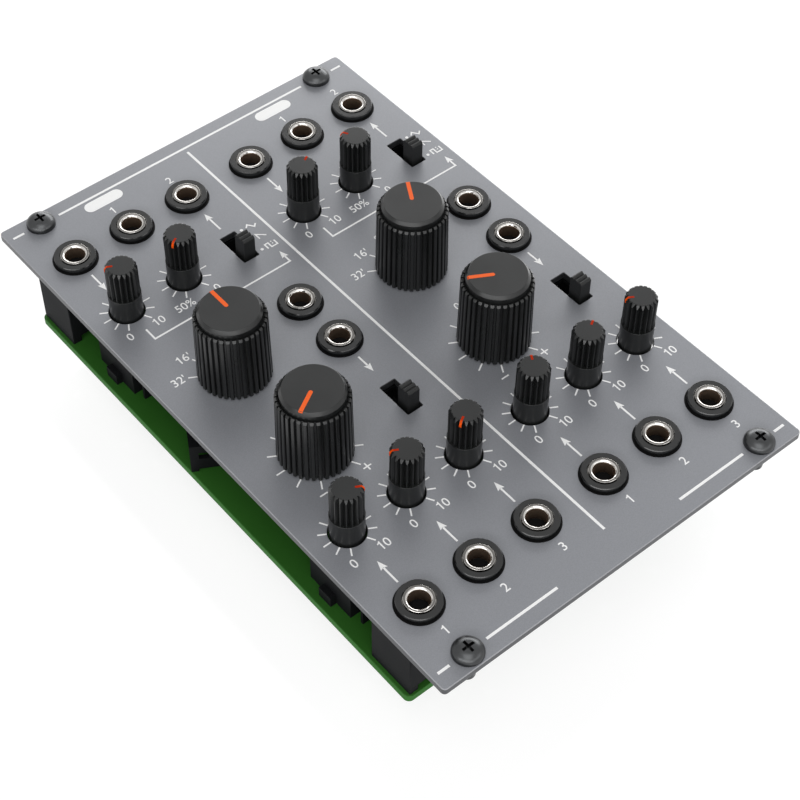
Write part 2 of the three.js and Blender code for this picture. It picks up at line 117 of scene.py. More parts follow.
class Finish(Nodes):
    """A procedural material: fixed sockets of its shader, and nodes for what varies over it."""

    def __init__(self, name, fixed):
        self.material = bpy.data.materials.new(name)
        self.material.use_nodes = True
        super().__init__(self.material.node_tree)
        self.shader = self.tree.nodes["Principled BSDF"]
        self.feed(self.shader, fixed)
        self.place = self.node("ShaderNodeTexCoord", {}, {}, "Object")
        self.facing = self.node("ShaderNodeTexCoord", {}, {}, "Normal")

    def noise(self, scale, detail=2.0):
        return self.node("ShaderNodeTexNoise", {}, {"Vector": self.place, "Scale": scale, "Detail": detail})

    def range(self, value, low, high):
        sockets = {"Value": value, "From Min": low, "From Max": high}
        return self.node("ShaderNodeMapRange", {}, sockets)

    def blend(self, share, first, second):
        first, second = (c if isinstance(c, Value) else colour(*c) for c in (first, second))
        return self.node("ShaderNodeMix", {"data_type": "RGBA"}, {0: share, 6: first, 7: second}, 2)

    def parts_of(self, vector):
        """The three numbers of a place or a direction."""
        return [self.node("ShaderNodeSeparateXYZ", {}, {0: vector}, axis) for axis in range(3)]

    def length_from_axis(self):
        flat = self.node("ShaderNodeVectorMath", {"operation": "MULTIPLY"}, {0: self.place, 1: (1, 1, 0)})
        return self.node("ShaderNodeVectorMath", {"operation": "LENGTH"}, {0: flat}, "Value")

    def relief(self, height, depth, strength=1.0):
        sockets = {"Height": height, "Distance": depth * MM, "Strength": strength}
        return self.node("ShaderNodeBump", {}, sockets)

    def vary(self, **sockets):
        self.feed(self.shader, {key.replace("_", " "): value for key, value in sockets.items()})


def block(mesh, low, high):
    """Adds a box between two corners."""
    low, high = Vector(low), Vector(high)
    size = Matrix.Diagonal((*(high - low), 1))
    bmesh.ops.create_cube(mesh, size=1, matrix=Matrix.Translation((low + high) / 2) @ size)


def soften(mesh, width, segments=2, sharp=40):
    """Bevels every sharp edge of what a mesh holds so far."""
    sharp = [edge for edge in mesh.edges
             if len(edge.link_faces) == 2 and edge.calc_face_angle() > math.radians(sharp)]
    bmesh.ops.bevel(mesh, geom=sharp, offset=width, segments=segments, profile=0.5, affect="EDGES",
                    clamp_overlap=True)


def piece(mesh, name, finish, body, spot=(0, 0, 0), turn=0, sharp=20):
    """Makes a finished object of a mesh in millimetres, and lets it ride on a body."""
    bmesh.ops.recalc_face_normals(mesh, faces=mesh.faces)
    data = bpy.data.meshes.new(name)
    mesh.to_mesh(data)
    mesh.free()
    data.transform(Matrix.Scale(MM, 4))
    data.shade_smooth()
    data.set_sharp_from_angle(angle=math.radians(sharp))
    data.materials.append(finish.material)
    return copy_of(data, name, body, spot, turn)


def copy_of(data, name, body, spot, turn=0):
    """Stands one more object of the same make at another spot."""
    thing = bpy.data.objects.new(name, data)
    bpy.context.scene.collection.objects.link(thing)
    thing.location = Vector(spot) * MM
    thing.rotation_euler.z = math.radians(turn)
    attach(thing, body)
    return thing


def rounded(width, height, radius, steps=6):
    """The outline of a rectangle with rounded corners, counterclockwise."""
    points = []
    for corner, (across, up) in enumerate(((1, 1), (-1, 1), (-1, -1), (1, -1))):
        for step in range(steps + 1):
            angle = math.radians(90 * (corner + step / steps))
            x = across * (width / 2 - radius) + radius * math.cos(angle)
            y = up * (height / 2 - radius) + radius * math.sin(angle)
            points.append((x, y))
    return points


def circle(x, y, radius, sides=48):
    """The outline of a circle, counterclockwise."""
    angles = [2 * math.pi * i / sides for i in range(sides)]
    return [(x + radius * math.cos(angle), y + radius * math.sin(angle)) for angle in angles]


def sheet(outline, holes, low, high, edge):
    """A flat sheet with holes through it and its edges broken, as a mesh."""
    data = bpy.data.curves.new("sheet", "CURVE")
    data.dimensions = "2D"
    data.fill_mode = "BOTH"
    data.extrude = (high - low) / 2 - edge
    data.bevel_depth = edge
    data.bevel_resolution = 1
    data.offset = -edge
    for points in (outline, *holes):
        spline = data.splines.new("POLY")
        spline.points.add(len(points) - 1)
        for point, (x, y) in zip(spline.points, points):
            point.co = (x, y, 0, 1)
        spline.use_cyclic_u = True
    mesh = taken_from(data)
    bmesh.ops.translate(mesh, verts=mesh.verts, vec=(0, 0, (low + high) / 2))
    return mesh


def taken_from(data):
    """Turns a curve or a figure into a mesh."""
    thing = bpy.data.objects.new("draft", data)
    bpy.context.scene.collection.objects.link(thing)
    bpy.context.view_layer.update()
    made = bpy.data.meshes.new_from_object(thing)
    mesh = bmesh.new()
    mesh.from_mesh(made)
    bmesh.ops.remove_doubles(mesh, verts=mesh.verts, dist=0.0005)
    bpy.data.objects.remove(thing)
    bpy.data.meshes.remove(made)
    return mesh


lacquer = Finish("green_lacquer", {"Specular IOR Level": 0.2})
threads = {"Vector": lacquer.place, "Scale": WEAVE_SCALE}
weave, weft = (lacquer.node("ShaderNodeTexWave", {"bands_direction": way}, threads) for way in "XY")
cloud = lacquer.noise(60.0, 3.0)
green = lacquer.blend(0.75 * cloud + 0.12 * (weave + weft), LACQUER_DEEP, LACQUER_LIGHT)
lacquer_up = lacquer.parts_of(lacquer.facing)[2]
# The routed sides are a lighter green: partly the bare edge of the laminate, and partly a painted highlight
# where the edge catches light. They are rougher too.
routed_side_and_highlight = lacquer_up * lacquer_up < 0.5
lacquer.vary(
    Base_Color=lacquer.blend(routed_side_and_highlight, green, ROUTED_EDGE_WITH_HIGHLIGHT),
    Roughness=0.28 + 0.16 * cloud + 0.3 * routed_side_and_highlight,
    Normal=lacquer.relief(weave + weft, 0.006, 0.5),
)

board_outline = [(x, y + BOARD_MIDDLE_Y) for x, y in rounded(BOARD_WIDTH, BOARD_HEIGHT, BOARD_CORNER)]
board = piece(sheet(board_outline, [], BOARD_BACK, BOARD_FRONT, BOARD_EDGE),
              "board", lacquer, "module")
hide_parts("circuit_board")


# Sockets. Each is a black moulded case on the board, with a nickel plated sleeve that comes through
# the panel, and a turned black nut on it. Under the nut a thin near-black ring on the panel is a
# painted contact shadow. The sleeve's mouth flares.

PANEL_BACK = 24.7
PANEL_FRONT = 26.2
HALF_CHANNEL = 20.32
CHANNEL_X = {"left": -HALF_CHANNEL, "right": HALF_CHANNEL}
COLUMN = 12.7
ROW = {"top": 49.5, "upper": 32.7, "range": 8.4, "pitch": -14.5, "lower": -31.1, "bottom": -49.4}
SIDE_SOCKET_DROP = 5.725
CASE_LEFT, CASE_RIGHT, CASE_HALF_LENGTH = -5.85, 4.65, 4.95
CASE_FOOT_WIDTH, CASE_FOOT_HEIGHT = 1.85, 1.4
BARREL_RADIUS, BARREL_FOOT, BARREL_FLOOR, BARREL_TOP = 2.3, 14.0, 15.0, 22.0
NUT_RADIUS, NUT_HEIGHT, NUT_BORE, NUT_MOUTH = 3.97, 1.22, 2.95, 2.84
SHADOW_RING_RADIUS, SHADOW_RING_HEIGHT = 4.3, 0.16
SLEEVE_RADIUS, SLEEVE_LIP, BORE_RADIUS, SLEEVE_STEP = 2.66, 2.34, 1.82, 4.1
LIP_RISE, LIP_EDGE = 0.12, 0.09
FLARE_RISE, FLARE_HEIGHT = 0.2, 0.6
THREAD_RADIUS, THREAD_DEPTH = 2.93, 0.5
THROAT_RADIUS, TAIL_RADIUS, TAIL_FOOT, TAIL_TOP = 1.3, 2.0, 16.0, 20.0
CASE_GAP = 0.02
BLACK_DEEP, BLACK_LIGHT = (16, 17, 18), (23, 24, 26)


def ring(mesh, radius, height, sides):
    """One circle of corners. A radius of 0 is a single point."""
    if radius == 0:
        return [mesh.verts.new((0, 0, height))]
    return [mesh.verts.new((x, y, height)) for x, y in circle(0, 0, radius, sides)]


def skin(mesh, lower, upper):
    """Faces between two rings, or between a ring and a point."""
    count = max(len(lower), len(upper))
    for i in range(count):
        j = (i + 1) % count
        corners = [lower[i % len(lower)], lower[j % len(lower)],
                   upper[j % len(upper)], upper[i % len(upper)]]
        mesh.faces.new(list(dict.fromkeys(corners)))


def turned(mesh, profile, sides=64):
    """Adds a body turned round z, from a list of radii and heights."""
    rings = [ring(mesh, radius, height, sides) for radius, height in profile]
    for lower, upper in zip(rings, rings[1:]):
        skin(mesh, lower, upper)


def moulded(name, deep, light, roughness, grain=0.01, gloss=0.3):
    """Black thermoplastic with a fine spark eroded grain."""
    finish = Finish(name, {"Specular IOR Level": gloss})
    cloud, spark = finish.noise(120.0, 3.0), finish.noise(5200.0, 2.0)
    finish.vary(
        Base_Color=finish.blend(finish.range(cloud * 0.6 + spark * 0.4, 0.3, 0.7), deep, light),
        Roughness=roughness + 0.14 * cloud,
        Normal=finish.relief(spark, grain, 0.6),
    )
    return finish


case_plastic = moulded("case_plastic", BLACK_DEEP, BLACK_LIGHT, 0.5, gloss=0.06)

nut_black = Finish("nut_black", {"Specular IOR Level": 0.5})
scuff = nut_black.noise(700.0, 4.0)
nut_black.vary(
    Base_Color=nut_black.blend(scuff, (12, 13, 13), (20, 21, 21)),
    Roughness=0.18 + 0.1 * scuff,
    Normal=nut_black.relief(scuff, 0.004, 0.3),
)

# A near-black ring under each nut: painted contact shadow round the nut's foot, with a faint mottle.
painted_shadow_black = Finish("painted_shadow_black", {"Specular IOR Level": 0.1})
shadow_mottle = painted_shadow_black.noise(400.0, 2.0)
painted_shadow_black.vary(Base_Color=painted_shadow_black.blend(shadow_mottle, (2, 2, 2), (5, 5, 5)), Roughness=0.6 + 0.2 * shadow_mottle)

nickel = Finish("nickel_plate", {"Metallic": 1.0})
haze = nickel.noise(300.0, 2.0)
bore = nickel.length_from_axis() < (BORE_RADIUS + 0.02) * MM
flat = nickel.parts_of(nickel.facing)[2] > 0.97
plated = nickel.blend(haze, (190, 187, 183), (206, 203, 199))
# Faces that point straight up are painted a darker grey, a painted dark reflection, and are rougher.
plated_with_shaded_tops = nickel.blend(flat, plated, (112, 110, 107))
nickel.vary(
    Base_Color=nickel.blend(bore, plated_with_shaded_tops, nickel.blend(haze, (142, 122, 106), (160, 140, 122))),
    Roughness=0.08 + 0.05 * haze + 0.12 * flat + 0.34 * bore,
)

SOCKETS = {}
for side, centre in CHANNEL_X.items():
    for number in (1, 2, 3):
        x = centre + (number - 2) * COLUMN
        SOCKETS[f"{side}_top_socket_{number}"] = (x, ROW["top"])
        SOCKETS[f"{side}_bottom_socket_{number}"] = (x, ROW["bottom"])
    SOCKETS[f"{side}_side_socket_1"] = (centre + COLUMN, ROW["range"] + SIDE_SOCKET_DROP)
    SOCKETS[f"{side}_side_socket_2"] = (centre + COLUMN, ROW["range"] - SIDE_SOCKET_DROP)

shell = bmesh.new()
foot_top = BOARD_FRONT + CASE_FOOT_HEIGHT
block(shell, (CASE_LEFT, -CASE_HALF_LENGTH, foot_top), (CASE_RIGHT, CASE_HALF_LENGTH, PANEL_BACK - CASE_GAP))
for low, high in ((CASE_LEFT, CASE_LEFT + CASE_FOOT_WIDTH), (CASE_RIGHT - CASE_FOOT_WIDTH, CASE_RIGHT)):
    block(shell, (low, -CASE_HALF_LENGTH, BOARD_FRONT), (high, CASE_HALF_LENGTH, foot_top + 0.3))
soften(shell, 0.18)
turned(shell, [
    (0, BARREL_FOOT), (BARREL_RADIUS, BARREL_FOOT), (BARREL_RADIUS, BARREL_TOP),
    (BORE_RADIUS + 0.1, BARREL_TOP), (BORE_RADIUS + 0.1, BARREL_FLOOR), (0, BARREL_FLOOR),
], 32)

sleeve = bmesh.new()
top = PANEL_FRONT + NUT_HEIGHT
lip = [(SLEEVE_RADIUS - LIP_EDGE * (1 - math.cos(math.radians(step))),
        top + LIP_RISE + LIP_EDGE * math.sin(math.radians(step))) for step in range(0, 91, 30)]
flare = [(SLEEVE_LIP + (SLEEVE_LIP - BORE_RADIUS) * math.cos(math.radians(step)),
          top + FLARE_RISE - FLARE_HEIGHT + FLARE_HEIGHT * math.sin(math.radians(step)))
         for step in range(96, 181, 14)]
turned(sleeve, [
    (THREAD_RADIUS, PANEL_BACK - CASE_GAP), (THREAD_RADIUS, top - THREAD_DEPTH),
    (SLEEVE_RADIUS, top - THREAD_DEPTH), *lip, *flare,
    (BORE_RADIUS, top - SLEEVE_STEP), (THROAT_RADIUS, top - SLEEVE_STEP - 0.1), (THROAT_RADIUS, TAIL_FOOT),
    (TAIL_RADIUS, TAIL_FOOT), (TAIL_RADIUS, TAIL_TOP), (THREAD_RADIUS, PANEL_BACK - CASE_GAP),
])

nut = bmesh.new()
nut_foot = PANEL_FRONT + SHADOW_RING_HEIGHT
turned(nut, [
    (NUT_BORE, nut_foot), (NUT_RADIUS, nut_foot), (NUT_RADIUS, top - 0.16),
    (NUT_RADIUS - 0.12, top - 0.015), (NUT_RADIUS - 0.16, top),
    (NUT_MOUTH + 0.06, top), (NUT_MOUTH, top - 0.06), (NUT_BORE, top - 0.6), (NUT_BORE, nut_foot),
])

# The ring of painted shadow that lies on the panel under the nut.
painted_shadow_ring = bmesh.new()
turned(painted_shadow_ring, [
    (NUT_BORE, PANEL_FRONT), (SHADOW_RING_RADIUS, PANEL_FRONT), (SHADOW_RING_RADIUS, nut_foot),
    (NUT_BORE, nut_foot), (NUT_BORE, PANEL_FRONT),
])

parts = {"case": (shell, case_plastic, "case_plastic"), "sleeve": (sleeve, nickel, None),
         "painted_shadow_ring": (painted_shadow_ring, painted_shadow_black, "case_plastic"), "nut": (nut, nut_black, "case_plastic")}
for part, (mesh, finish, slot) in parts.items():
    data = None
    for name, (x, y) in SOCKETS.items():
        if data is None:
            thing = piece(mesh, f"{name}_{part}", finish, "module", (x, y, 0))
            data = thing.data
        else:
            thing = copy_of(data, f"{name}_{part}", "module", (x, y, 0))
        if part == "case":
            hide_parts(name)


# Potentiometers, range switches and slide switches. Black moulded or folded cases that stand on the
# board under their shafts and levers, each with its lugs and terminals soldered to the board.

for name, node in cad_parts.items():
    if name.endswith(("_pot", "_pot_1", "_pot_2", "_pot_3", "_switch")):
        node.data.materials.clear()
        node.data.materials.append(case_plastic.material)


# Solder joints on the back of the board. Bright tin cones round the leads that come through it, in
# the pattern of each part's terminals.

JOINT_RADIUS, JOINT_HEIGHT, LEAD_RADIUS, LEAD_LENGTH = 0.85, 0.55, 0.28, 0.3
SOCKET_LEADS = ((-4.9, 0), (0.6, -4.2), (3.7, 0))
POT_LEADS = ((-2.5, -7.4), (0, -7.4), (2.5, -7.4), (-4.6, 0), (4.6, 0))
SWITCH_LEADS = ((-1.6, -4.5), (1.6, -4.5), (-1.6, 0), (1.6, 0), (-1.6, 4.5), (1.6, 4.5))
RANGE_LEADS, RANGE_LEADS_RADIUS = 6, 5.2

solder = Finish("solder", {"Metallic": 0.9})
tin = solder.noise(500.0, 3.0)
solder.vary(Base_Color=solder.blend(tin, (150, 152, 154), (196, 198, 200)), Roughness=0.25 + 0.25 * tin)

lead_spots = [(x + across, y + up) for x, y in SOCKETS.values() for across, up in SOCKET_LEADS]
for centre in CHANNEL_X.values():
    columns = [centre - COLUMN, centre, centre + COLUMN]
    pots = [(columns[0], ROW["upper"]), (columns[1], ROW["upper"])]
    pots += [(x, ROW["lower"]) for x in columns] + [(centre - COLUMN / 2, ROW["pitch"])]
    lead_spots += [(x + across, y + up) for x, y in pots for across, up in POT_LEADS]
    for row in ("upper", "pitch"):
        lead_spots += [(columns[2] + across, ROW[row] + up) for across, up in SWITCH_LEADS]
    lead_spots += circle(centre - COLUMN / 2, ROW["range"], RANGE_LEADS_RADIUS, RANGE_LEADS)

joints = bmesh.new()
lead_end = BOARD_BACK - JOINT_HEIGHT - LEAD_LENGTH
for x, y in lead_spots:
    start = len(joints.verts)
    turned(joints, [
        (0, BOARD_BACK), (JOINT_RADIUS, BOARD_BACK), (JOINT_RADIUS * 0.75, BOARD_BACK - 0.14),
        (LEAD_RADIUS * 1.3, BOARD_BACK - JOINT_HEIGHT), (LEAD_RADIUS, lead_end), (0, lead_end - 0.04),
    ], 12)
    joints.verts.ensure_lookup_table()
    bmesh.ops.translate(joints, verts=joints.verts[start:], vec=(x, y, 0))
piece(joints, "solder_joints", solder, "module", sharp=60)


# Power header. A black moulded shroud on the back of the board, mouth down, keyed by a notch in one
# long side, with two rows of gold plated square pins.

HEADER_WIDTH, HEADER_LENGTH, HEADER_WALL = 8.9, 20.32, 1.2
HEADER_FLOOR, HEADER_KEY, HEADER_BEVEL = 2.0, 4.5, 0.12
PIN_PITCH, PIN_HALF, PIN_SETBACK = 2.54, 0.32, 0.6

shroud = bmesh.new()
half_width, half_length = HEADER_WIDTH / 2, HEADER_LENGTH / 2
wall_top = BOARD_BACK - HEADER_FLOOR + 0.2
block(shroud, (-half_width, -half_length, BOARD_BACK - HEADER_FLOOR), (half_width, half_length, BOARD_BACK))
for sign in (-1, 1):
    low, high = sorted((sign * half_length, sign * (half_length - HEADER_WALL)))
    block(shroud, (-half_width, low, 0), (half_width, high, wall_top))
block(shroud, (half_width - HEADER_WALL, -half_length, 0), (half_width, half_length, wall_top))
for sign in (-1, 1):
    low, high = sorted((sign * HEADER_KEY / 2, sign * half_length))
    block(shroud, (-half_width, low, 0), (HEADER_WALL - half_width, high, wall_top))
soften(shroud, HEADER_BEVEL, 1)
header = piece(shroud, "header_shroud", case_plastic, "module")
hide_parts("power_header")

gold = Finish("gold_plate", {"Metallic": 1.0})
wear = gold.noise(800.0, 3.0)
gold.vary(Base_Color=gold.blend(wear, (196, 158, 88), (226, 190, 116)), Roughness=0.18 + 0.2 * wear)

pins = bmesh.new()
for row in (-2, -1, 0, 1, 2):
    for column in (-0.5, 0.5):
        x, y = column * PIN_PITCH, row * PIN_PITCH
        block(pins, (x - PIN_HALF, y - PIN_HALF, PIN_SETBACK),
              (x + PIN_HALF, y + PIN_HALF, BOARD_BACK - HEADER_FLOOR / 2))
soften(pins, HEADER_BEVEL, 1)
piece(pins, "header_pins", gold, "module")


# Front panel. Aluminium sheet with its edges broken, painted a satin grey with a fine metallic
# fleck. Nuts, shafts, levers and rack screws come through its holes. The walls of the holes are
# painted dark grey and the outer sides darker grey, both painted shade; the broken edges are painted
# lighter, a painted highlight.

PANEL_WIDTH, PANEL_HEIGHT = 80.98, 128.5
PANEL_CORNER, PANEL_EDGE = 0.8, 0.14
SOCKET_HOLE, SCREW_HOLE, SMALL_KNOB_HOLE, LARGE_KNOB_HOLE = 3.1, 1.7, 3.28, 3.3
SLOT_HALF_WIDTH, SLOT_HALF_LENGTH, SLOT_CORNER = 1.655, 3.865, 0.15
SCREW_X, SCREW_Y = 33.02, 61.25
SCREW_SPOTS = {f"{end}_{side}": (across * SCREW_X, up * SCREW_Y)
               for end, up in (("top", 1), ("bottom", -1))
               for side, across in (("left", -1), ("right", 1))}
HOLES_HALF_WIDTH, HOLES_HALF_HEIGHT = 40.0, 63.8
PAINT_DEEP, PAINT_LIGHT, PAINT_SIDE_SHADE = (126, 128, 133), (134, 136, 141), (62, 64, 68)
EDGE_HIGHLIGHT, HOLE_WALL_SHADE = (160, 161, 165), (52, 53, 55)

paint = Finish("grey_paint", {"Specular IOR Level": 0.55})
fleck = paint.noise(5200.0, 1.0)
paint_place, paint_way = paint.parts_of(paint.place), paint.parts_of(paint.facing)
upward = paint_way[2] * paint_way[2]
# The panel's upright outer sides are painted a darker grey, painted shade.
upright_shaded, broken_edge_highlight = upward < 0.1, (upward > 0.1) * (upward < 0.9)
inside_x = paint_place[0] * paint_place[0] < (HOLES_HALF_WIDTH * MM) ** 2
inside_y = paint_place[1] * paint_place[1] < (HOLES_HALF_HEIGHT * MM) ** 2
coat = paint.blend(paint.range(fleck, 0.3, 0.7), PAINT_DEEP, PAINT_LIGHT)
# The broken edges are painted a lighter grey, a painted highlight.
outside_with_painted_light = paint.blend(broken_edge_highlight, paint.blend(upright_shaded, coat, PAINT_SIDE_SHADE), EDGE_HIGHLIGHT)
# The walls of the holes and slots are painted dark grey, painted shade inside them.
inside_with_painted_shade = paint.blend(upward < 0.9, coat, HOLE_WALL_SHADE)
paint.vary(
    Base_Color=paint.blend(inside_x * inside_y, outside_with_painted_light, inside_with_painted_shade),
    Metallic=0.05 + 0.1 * fleck,
    Roughness=0.34 + 0.08 * fleck,
    Normal=paint.relief(fleck, 0.006, 0.2),
)

holes = [circle(x, y, SOCKET_HOLE) for x, y in SOCKETS.values()]
holes += [circle(x, y, SCREW_HOLE, 32) for x, y in SCREW_SPOTS.values()]
for centre in CHANNEL_X.values():
    columns = [centre - COLUMN, centre, centre + COLUMN]
    holes += [circle(x, ROW["upper"], SMALL_KNOB_HOLE, 64) for x in columns[:2]]
    holes += [circle(x, ROW["lower"], SMALL_KNOB_HOLE, 64) for x in columns]
    holes += [circle(centre - COLUMN / 2, ROW[row], LARGE_KNOB_HOLE) for row in ("range", "pitch")]
    for row in ("upper", "pitch"):
        slot = rounded(2 * SLOT_HALF_WIDTH, 2 * SLOT_HALF_LENGTH, SLOT_CORNER, 2)
        holes.append([(columns[2] + x, ROW[row] + y) for x, y in slot])
panel_outline = rounded(PANEL_WIDTH, PANEL_HEIGHT, PANEL_CORNER)
panel = piece(sheet(panel_outline, holes, PANEL_BACK, PANEL_FRONT, PANEL_EDGE),
              "panel", paint, "module")
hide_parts("front_panel")


# Print. White ink screened on the painted panel: frame lines, arrows, dial marks with plain
# numbers, and the three signs of the wave shapes. The ink stands 0.03 mm proud of the paint.

INK_TOP, INK_FOOT = PANEL_FRONT + 0.03, PANEL_FRONT - 0.02
FRAME_LINE, ARROW_LINE, MARK_LINE, SIGN_LINE = 0.5, 0.36, 0.28, 0.3
ARROW_HEAD_WIDTH, ARROW_HEAD_LENGTH = 1.4, 1.9
FIGURE_HEIGHT, FIGURE_SHARE_OF_FONT, FIGURE_WEIGHT, FIGURE_STEP = 1.8, 0.73, 0.012, 1.25
FRAME_TOP, FRAME_BOTTOM, FRAME_REACH, FOOT_GAP = 61.25, -61.2, 29.1, 13.9
CORNER_START, CORNER_END = 36.8, 39.2
MIDDLE_TOP, MIDDLE_BOTTOM = 60.0, -57.6
PILL_Y, PILL_WIDTH, PILL_HEIGHT, PILL_CORNER = 59.1, 8.3, 2.6, 1.29
SMALL_MARKS, LARGE_MARKS = (3.45, 5.0), (6.5, 8.3)
WHOLE_TURN, RANGE_TURN = range(-150, 151, 30), range(-60, 61, 30)
UPPER_FIGURES, LOWER_FIGURES, SOCKET_FIGURES, SIGNS_Y = 27.0, -36.8, -55.8, -22.7
OCTAVES = (("32'", -8.9, 4.6), ("6'", -4.6, 8.4), ("8'", 0, 9.6), ("4'", 4.9, 8.4), ("2'", 8.5, 4.6))

ink = Finish("white_ink", {"Specular IOR Level": 0.2})
cover = ink.noise(2600.0, 3.0)
ink.vary(Base_Color=ink.blend(cover, (240, 240, 240), (250, 250, 249)), Roughness=0.42 + 0.2 * cover)

printing = bmesh.new()


def stamp(outline):
    """Adds one flat patch of ink."""
    low = [printing.verts.new((x, y, INK_FOOT)) for x, y in outline]
    high = [printing.verts.new((x, y, INK_TOP)) for x, y in outline]
    skin(printing, low, high)
    printing.faces.new(high)
    printing.faces.new(list(reversed(low)))


def line(points, width):
    """Adds a line of ink through some points, with mitred corners."""
    points = [Vector(p) for p in points]
    ways = [(b - a).normalized() for a, b in zip(points, points[1:])]
    left, right = [], []
    for i, point in enumerate(points):
        before, after = ways[max(i - 1, 0)], ways[min(i, len(ways) - 1)]
        across = Vector((-before.y - after.y, before.x + after.x)).normalized()
        reach = width / 2 / max(across.dot(Vector((-after.y, after.x))), 0.3)
        left.append(point + across * reach)
        right.append(point - across * reach)
    stamp([tuple(p) for p in left + right[::-1]])


def arrow(points):
    """Adds a line that ends in an arrow head."""
    tip, before = Vector(points[-1]), Vector(points[-2])
    way = (tip - before).normalized()
    neck = tip - way * ARROW_HEAD_LENGTH
    across = Vector((-way.y, way.x)) * ARROW_HEAD_WIDTH / 2
    line([*points[:-1], tuple(neck + way * 0.2)], ARROW_LINE)
    stamp([tuple(tip), tuple(neck + across), tuple(neck + way * 0.3), tuple(neck - across)])


def one(x, y):
    """Adds a plain figure 1 at a spot."""
    outline = [(0.13, 0), (0.13, 1), (0.02, 1), (-0.06, 0.89), (-0.24, 0.81), (-0.24, 0.7),
               (-0.02, 0.74), (-0.02, 0)]
    stamp([(x + across * FIGURE_HEIGHT, y + (up - 0.5) * FIGURE_HEIGHT) for across, up in outline])


def figures(text, x, y):
    """Adds plain figures centred on a spot."""
    data = bpy.data.curves.new("figures", "FONT")
    data.body = text
    data.size = FIGURE_HEIGHT / FIGURE_SHARE_OF_FONT
    data.align_x, data.align_y = "CENTER", "CENTER"
    data.offset = FIGURE_WEIGHT
    data.extrude = (INK_TOP - INK_FOOT) / 2
    made = taken_from(data)
    middle = []
    for axis in (0, 1):
        places = [vert.co[axis] for vert in made.verts]
        middle.append((max(places) + min(places)) / 2)
    move = (x - middle[0], y - middle[1], (INK_TOP + INK_FOOT) / 2)
    bmesh.ops.translate(made, verts=made.verts, vec=move)
    holder = bpy.data.meshes.new("figures")
    made.to_mesh(holder)
    made.free()
    printing.from_mesh(holder)
    bpy.data.meshes.remove(holder)


def ten(x, y):
    """Adds a 10 whose first figure is at a spot."""
    one(x, y)
    figures("0", x + FIGURE_STEP, y)


def dial(x, y, marks, turns):
    """Adds the marks round a knob, at some angles clockwise from straight up."""
    inner, outer = marks
    for turn in turns:
        way = Vector((math.sin(math.radians(turn)), math.cos(math.radians(turn))))
        middle = Vector((x, y))
        line([tuple(middle + way * inner), tuple(middle + way * outer)], MARK_LINE)


def plus(reach, half):
    """The outline of a cross with arms of one width."""
    arm = [(reach, -half), (reach, half), (half, half)]
    quarters = ((1, 0), (0, 1), (-1, 0), (0, -1))
    return [(x * cos - y * sin, x * sin + y * cos) for cos, sin in quarters for x, y in arm]


line([(-FRAME_REACH, FRAME_TOP), (FRAME_REACH, FRAME_TOP)], FRAME_LINE)
line([(0, MIDDLE_TOP), (0, MIDDLE_BOTTOM)], FRAME_LINE)
for sign in (-1, 1):
    line([(sign * FOOT_GAP, FRAME_BOTTOM), (sign * FRAME_REACH, FRAME_BOTTOM)], FRAME_LINE)
    for y in (FRAME_TOP, FRAME_BOTTOM):
        line([(sign * CORNER_START, y), (sign * CORNER_END, y)], FRAME_LINE)

for centre in CHANNEL_X.values():
    first, second, third = centre - COLUMN, centre, centre + COLUMN
    large = centre - COLUMN / 2
    bend = centre + 17.77
    stamp([(centre + x, PILL_Y + y) for x, y in rounded(PILL_WIDTH, PILL_HEIGHT, PILL_CORNER, 8)])
    one(centre - 0.1, 55.8)
    figures("2", third + 0.2, 55.7)
    arrow([(first, 44.2), (first, 39.3)])
    arrow([(third, 38.7), (third, 43.9)])
    arrow([(third, -2.6), (third, -6.9)])
    arrow([(first, 26.7), (first, 23.8), (bend, 23.8), (bend, 27.1)])
    for x in (first, second, third):
        arrow([(x, -44.1), (x, -38.8)])
        dial(x, ROW["lower"], SMALL_MARKS, WHOLE_TURN)
        figures("0", x - 3.2, LOWER_FIGURES)
        ten(x + 2.5, LOWER_FIGURES)
    for x in (first, second):
        dial(x, ROW["upper"], SMALL_MARKS, WHOLE_TURN)
    figures("0", first - 3.2, UPPER_FIGURES)
    ten(first + 2.4, UPPER_FIGURES)
    figures("50%", second - 3.8, UPPER_FIGURES)
    figures("0", second + 3.4, UPPER_FIGURES)
    dial(large, ROW["range"], LARGE_MARKS, RANGE_TURN)
    one(large - 6.1, ROW["range"] + 8.4)
    for text, across, up in OCTAVES:
        figures(text, large + across, ROW["range"] + up)
    dial(large, ROW["pitch"], LARGE_MARKS, WHOLE_TURN)
    figures("0", large, ROW["pitch"] + 9.9)
    line([(large - 5.4, SIGNS_Y), (large - 3.8, SIGNS_Y)], MARK_LINE)
    stamp([(large + 4.75 + x, SIGNS_Y + y) for x, y in plus(0.85, MARK_LINE / 2)])
    one(first, SOCKET_FIGURES)
    figures("2", second, SOCKET_FIGURES)
    figures("3", third, SOCKET_FIGURES)
    wave = centre + HALF_CHANNEL
    line([(wave - 3.7, 35.85), (wave - 3.1, 36.5), (wave - 2.17, 35.25), (wave - 1.55, 35.87)], SIGN_LINE)
    line([(wave - 3.4, 32.0), (wave - 3.4, 33.4), (wave - 1.8, 32.06)], SIGN_LINE)
    line([(wave - 3.68, 28.9), (wave - 3.68, 30.15), (wave - 2.9, 30.15), (wave - 2.9, 28.9),
          (wave - 1.55, 28.9), (wave - 1.55, 30.15)], SIGN_LINE)
    for y in (30.15, 29.6):
        stamp(circle(wave - 2.22, y, 0.15, 12))
    for y in (35.95, 29.5):
        stamp(circle(wave - 4.74, y, 0.32, 20))

piece(printing, "panel_print", ink, "module")


# Small knobs. Each is one black moulding with the control's shaft: a smooth collar through the
# panel and a fluted grip above it, with a red line let into the rim.

